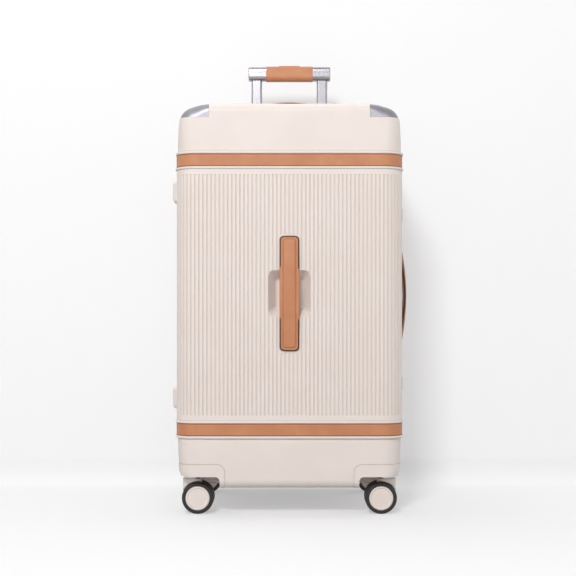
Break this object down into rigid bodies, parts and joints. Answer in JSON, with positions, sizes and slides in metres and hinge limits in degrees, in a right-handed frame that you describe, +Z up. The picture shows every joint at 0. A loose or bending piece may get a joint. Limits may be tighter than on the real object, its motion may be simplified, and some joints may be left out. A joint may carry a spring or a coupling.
{
  "type": "spinner suitcase",
  "caption": "Upright hard-shell trunk suitcase with ribbed lid and body, leather bands and handles, swivel casters and a telescopic trolley grip.",
  "frame": {"origin": "on the floor under the middle of the case's overall box", "axes": "+Z up, the lid and front handle face -Y, the side handle is on +X"},
  "size_m": [0.4464, 0.3624, 0.8843],
  "materials": {
    "shell": "satin moulded, warm ivory",
    "caster_plastic": "satin moulded",
    "leather": "fine grain, painted edges",
    "cap_metal": "satin",
    "frame_aluminium": "anodised",
    "steel": "satin plated",
    "dial_plastic": "fine texture",
    "seal_rubber": "matte",
    "tyre": "smooth matte",
    "lining": "woven lining",
    "webbing": "flat webbing"
  },
  "bodies": {
    "case": {"body_shell": "shell", "body_bands": "leather", "body_corner_caps": "cap_metal", "body_frame": "frame_aluminium", "frame_seal": "seal_rubber", "side_feet": "shell", "hinge_body_leaves": "steel", "hinge_pins": "steel", "latch_bases": "steel", "latch_pins": "steel", "lock_case": "steel", "lock_axle": "steel", "trolley_tray": "dial_plastic", "trolley_outer_tubes": "frame_aluminium", "trolley_anchor": "dial_plastic", "body_lining": "lining", "pack_straps": "webbing", "rear_caster_housings": "shell", "rear_kingpins": "steel"},
    "lid": {"lid_shell": "shell", "lid_bands": "leather", "lid_corner_caps": "cap_metal", "lid_frame": "frame_aluminium", "hinge_lid_leaves": "steel", "latch_keepers": "steel", "front_handle": "leather", "lid_lining": "lining", "front_caster_housings": "shell", "front_kingpins": "steel"},
    "top_carry": {"top_handle": "leather", "top_handle_stems": "steel"},
    "side_carry": {"side_handle": "leather", "side_handle_stems": "steel"},
    "trolley_middle": {"trolley_middle_tubes": "frame_aluminium"},
    "trolley_top": {"trolley_inner_tubes": "frame_aluminium", "trolley_grip": "frame_aluminium", "grip_leather": "leather"},
    "release": {"release_button": "leather", "release_yoke": "steel"},
    "upper_latch": {"upper_latch_lever": "steel"},
    "lower_latch": {"lower_latch_lever": "steel"},
    "dial_1": {"lock_dial_1": "dial_plastic"},
    "dial_2": {"lock_dial_2": "dial_plastic"},
    "dial_3": {"lock_dial_3": "dial_plastic"},
    "front_left_swivel": {"front_left_fork": "caster_plastic"},
    "front_left_wheels": {"front_left_axle": "steel", "front_left_hubs": "caster_plastic", "front_left_tyres": "tyre"},
    "front_right_swivel": {"front_right_fork": "caster_plastic"},
    "front_right_wheels": {"front_right_axle": "steel", "front_right_hubs": "caster_plastic", "front_right_tyres": "tyre"},
    "rear_left_swivel": {"rear_left_fork": "caster_plastic"},
    "rear_left_wheels": {"rear_left_axle": "steel", "rear_left_hubs": "caster_plastic", "rear_left_tyres": "tyre"},
    "rear_right_swivel": {"rear_right_fork": "caster_plastic"},
    "rear_right_wheels": {"rear_right_axle": "steel", "rear_right_hubs": "caster_plastic", "rear_right_tyres": "tyre"}
  },
  "joints": [
    {"name": "lid_hinge", "type": "hinge", "parent": "case", "child": "lid", "pos_m": [-0.2098, -0.071, 0.402], "axis": [0, 0, -1], "range_deg": [0, 110]},
    {"name": "top_handle_lift", "type": "slide", "parent": "case", "child": "top_carry", "axis": [0, 0, 1], "range_m": [0, 0.01], "stiffness_N_per_m": 600},
    {"name": "side_handle_lift", "type": "slide", "parent": "case", "child": "side_carry", "axis": [1, 0, 0], "range_m": [0, 0.01], "stiffness_N_per_m": 600},
    {"name": "trolley_middle_slide", "type": "slide", "parent": "case", "child": "trolley_middle", "axis": [0, 0, 1], "range_m": [0, 0.154]},
    {"name": "trolley_top_slide", "type": "slide", "parent": "trolley_middle", "child": "trolley_top", "axis": [0, 0, 1], "range_m": [-0.1335, 0.02]},
    {"name": "release_press", "type": "slide", "parent": "trolley_top", "child": "release", "axis": [0, 0, -1], "range_m": [0, 0.003], "stiffness_N_per_m": 900},
    {"name": "upper_latch_flip", "type": "hinge", "parent": "case", "child": "upper_latch", "pos_m": [0.2115, -0.049, 0.54985], "axis": [0, 0, 1], "range_deg": [0, 105]},
    {"name": "lower_latch_flip", "type": "hinge", "parent": "case", "child": "lower_latch", "pos_m": [0.2115, -0.049, 0.2351], "axis": [0, 0, 1], "range_deg": [0, 105]},
    {"name": "dial_1_turn", "type": "hinge", "parent": "case", "child": "dial_1", "pos_m": [0.2076, -0.05345, 0.57885], "axis": [0, 0, 1], "continuous": true},
    {"name": "dial_2_turn", "type": "hinge", "parent": "case", "child": "dial_2", "pos_m": [0.2076, -0.05345, 0.58685], "axis": [0, 0, 1], "continuous": true},
    {"name": "dial_3_turn", "type": "hinge", "parent": "case", "child": "dial_3", "pos_m": [0.2076, -0.05345, 0.59485], "axis": [0, 0, 1], "continuous": true},
    {"name": "front_left_swivel_turn", "type": "hinge", "parent": "lid", "child": "front_left_swivel", "pos_m": [-0.1786, -0.123, 0.0635], "axis": [0, 0, 1], "continuous": true},
    {"name": "front_left_wheels_roll", "type": "hinge", "parent": "front_left_swivel", "child": "front_left_wheels", "pos_m": [-0.1676, -0.123, 0.029], "axis": [0, 1, 0], "continuous": true},
    {"name": "front_right_swivel_turn", "type": "hinge", "parent": "lid", "child": "front_right_swivel", "pos_m": [0.1786, -0.123, 0.0635], "axis": [0, 0, 1], "continuous": true},
    {"name": "front_right_wheels_roll", "type": "hinge", "parent": "front_right_swivel", "child": "front_right_wheels", "pos_m": [0.1676, -0.123, 0.029], "axis": [0, 1, 0], "continuous": true},
    {"name": "rear_left_swivel_turn", "type": "hinge", "parent": "case", "child": "rear_left_swivel", "pos_m": [-0.1786, 0.131, 0.0635], "axis": [0, 0, 1], "continuous": true},
    {"name": "rear_left_wheels_roll", "type": "hinge", "parent": "rear_left_swivel", "child": "rear_left_wheels", "pos_m": [-0.1676, 0.131, 0.029], "axis": [0, 1, 0], "continuous": true},
    {"name": "rear_right_swivel_turn", "type": "hinge", "parent": "case", "child": "rear_right_swivel", "pos_m": [0.1786, 0.131, 0.0635], "axis": [0, 0, 1], "continuous": true},
    {"name": "rear_right_wheels_roll", "type": "hinge", "parent": "rear_right_swivel", "child": "rear_right_wheels", "pos_m": [0.1676, 0.131, 0.029], "axis": [0, 1, 0], "continuous": true}
  ]
}
